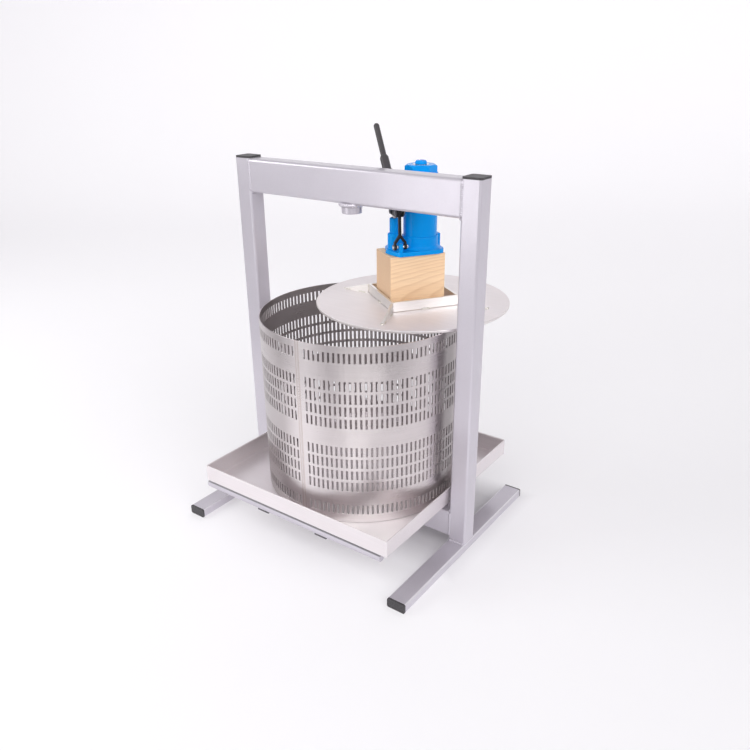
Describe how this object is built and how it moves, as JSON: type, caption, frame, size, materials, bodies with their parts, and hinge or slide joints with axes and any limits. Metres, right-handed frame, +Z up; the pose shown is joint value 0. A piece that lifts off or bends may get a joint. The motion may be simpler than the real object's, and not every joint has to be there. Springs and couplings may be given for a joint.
{
  "type": "hydraulic fruit press",
  "caption": "Welded tube-frame fruit press with a slotted steel basket in a drip tray, and a hand-pumped bottle jack on a wooden block and press plate parked on the basket rim.",
  "frame": {"origin": "on the floor, midway between the two posts and between the front and back foot ends", "axes": "+Z up, +X along the beams to the right post, +Y to the back, where the juice outlet is; the picture is taken from the front right"},
  "size_m": [0.592, 0.566, 0.8408],
  "materials": {
    "frame_paint": "silver-grey powder coat",
    "cap_plastic": "black moulded plastic",
    "stainless": "brushed stainless sheet",
    "pine": "planed softwood",
    "jack_blue": "gloss blue enamel",
    "jack_black": "black enamel",
    "bare_steel": "machined steel",
    "dark_steel": "blackened steel",
    "seal_rubber": "matte",
    "plug_brass": "turned brass"
  },
  "bodies": {
    "frame": {"left_post": "frame_paint", "right_post": "frame_paint", "top_beam": "frame_paint", "ram_socket": "frame_paint", "bottom_beam": "frame_paint", "left_foot": "frame_paint", "right_foot": "frame_paint", "post_caps": "cap_plastic", "foot_caps": "cap_plastic", "tray_arms": "frame_paint", "tray_rails": "frame_paint"},
    "tray": {"tray": "stainless", "outlet_pipe": "stainless"},
    "basket": {"basket": "stainless"},
    "plate": {"press_disc": "stainless", "locating_frame": "stainless", "gussets": "stainless"},
    "block": {"wood_block": "pine"},
    "jack": {"jack_base": "jack_blue", "jack_reservoir": "jack_blue", "jack_cylinder": "bare_steel", "jack_top_nut": "jack_blue", "nut_wiper": "seal_rubber", "pump_cylinder": "jack_blue", "link_pin": "bare_steel", "link_clip": "dark_steel", "filler_plug": "seal_rubber", "passage_plug": "plug_brass", "check_balls": "bare_steel"},
    "ram": {"jack_ram": "bare_steel", "ram_seal": "seal_rubber"},
    "screw": {"extension_screw": "jack_blue"},
    "valve": {"release_valve": "dark_steel", "valve_ring": "seal_rubber"},
    "plunger": {"pump_plunger": "bare_steel", "plunger_seal": "seal_rubber"},
    "link": {"pump_link": "jack_black"},
    "socket": {"handle_socket": "jack_black", "socket_pins": "bare_steel", "socket_clips": "dark_steel"},
    "handle": {"handle_lower": "jack_black", "handle_upper": "jack_black"}
  },
  "joints": [
    {"name": "tray_slide", "type": "slide", "parent": "frame", "child": "tray", "axis": [0, 1, 0], "range_m": [0, 0.2]},
    {"name": "basket_lift", "type": "slide", "parent": "tray", "child": "basket", "axis": [0, 0, 1], "range_m": [0, 0.03]},
    {"name": "plate_lift", "type": "slide", "parent": "basket", "child": "plate", "axis": [0, 0, 1], "range_m": [0, 0.12]},
    {"name": "block_lift", "type": "slide", "parent": "plate", "child": "block", "axis": [0, 0, 1], "range_m": [0, 0.08]},
    {"name": "jack_lift", "type": "slide", "parent": "block", "child": "jack", "axis": [0, 0, 1], "range_m": [0, 0.06]},
    {"name": "ram_slide", "type": "slide", "parent": "jack", "child": "ram", "axis": [0, 0, 1], "range_m": [0, 0.1]},
    {"name": "screw_extend", "type": "slide", "parent": "ram", "child": "screw", "axis": [0, 0, 1], "range_m": [0, 0.045]},
    {"name": "valve_turn", "type": "hinge", "parent": "jack", "child": "valve", "pos_m": [0.02574, 0.1247, 0.6023], "axis": [-0.8192, 0.5736, 0], "range_deg": [0, 180]},
    {"name": "link_swing", "type": "hinge", "parent": "jack", "child": "link", "pos_m": [0.07906, 0.05441, 0.6133], "axis": [0.5736, 0.8192, 0], "range_deg": [-2.2, 0.6]},
    {"name": "plunger_slide", "type": "slide", "parent": "jack", "child": "plunger", "axis": [0, 0, 1], "range_m": [-0.003, 0.0155]},
    {"name": "handle_pump", "type": "hinge", "parent": "link", "child": "socket", "pos_m": [0.07497, 0.05727, 0.68132], "axis": [0.5736, 0.8192, 0], "range_deg": [-5, 30]},
    {"name": "handle_pull", "type": "slide", "parent": "socket", "child": "handle", "axis": [-0.5122, 0.3586, 0.7804], "range_m": [0, 0.06]}
  ],
  "couplings": [
    {"joint": "link_swing", "follows": "handle_pump", "ratio": -0.065},
    {"joint": "plunger_slide", "follows": "handle_pump", "m_per_rad": 0.028}
  ]
}
